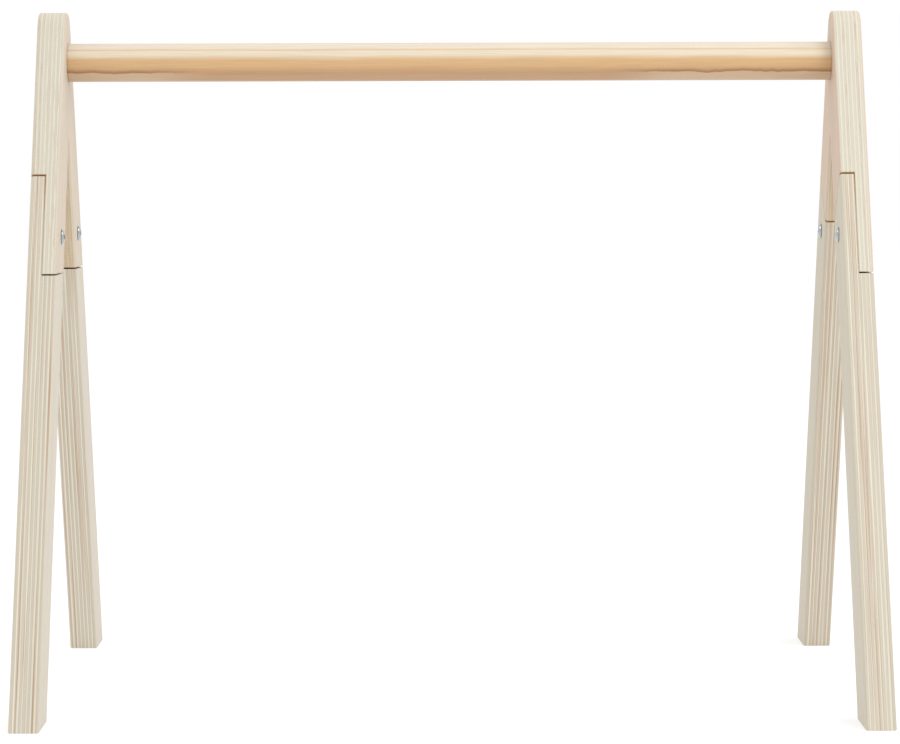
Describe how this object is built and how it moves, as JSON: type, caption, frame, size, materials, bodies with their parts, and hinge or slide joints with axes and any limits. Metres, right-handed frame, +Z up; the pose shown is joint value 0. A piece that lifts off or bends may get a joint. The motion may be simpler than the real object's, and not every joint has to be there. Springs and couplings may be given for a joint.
{
  "type": "activity play gym",
  "caption": "Wooden baby gym frame: plywood A-frame ends with half-lapped bolted legs, joined by a round pine crossbar for hanging toys.",
  "frame": {"origin": "on the floor, at the middle of the footprint", "axes": "+X along the crossbar towards the right end frame, +Y from the front feet to the back feet, +Z up"},
  "size_m": [0.6, 0.5196, 0.493],
  "materials": {
    "plywood": "birch plywood, sanded and lightly whitewashed, matt",
    "pine": "turned pine dowel, sanded, clear matt oil",
    "zinc_steel": "bright zinc plate",
    "brass_insert": "turned"
  },
  "bodies": {
    "root": {"crossbar": "pine", "left_head": "plywood", "left_bar_insert": "brass_insert", "left_bar_screw": "zinc_steel", "left_front_leg": "plywood", "left_front_bolt": "zinc_steel", "left_front_sleeve_nut": "zinc_steel", "left_back_leg": "plywood", "left_back_bolt": "zinc_steel", "left_back_sleeve_nut": "zinc_steel", "right_head": "plywood", "right_bar_insert": "brass_insert", "right_bar_screw": "zinc_steel", "right_front_leg": "plywood", "right_front_bolt": "zinc_steel", "right_front_sleeve_nut": "zinc_steel", "right_back_leg": "plywood", "right_back_bolt": "zinc_steel", "right_back_sleeve_nut": "zinc_steel"}
  },
  "joints": []
}
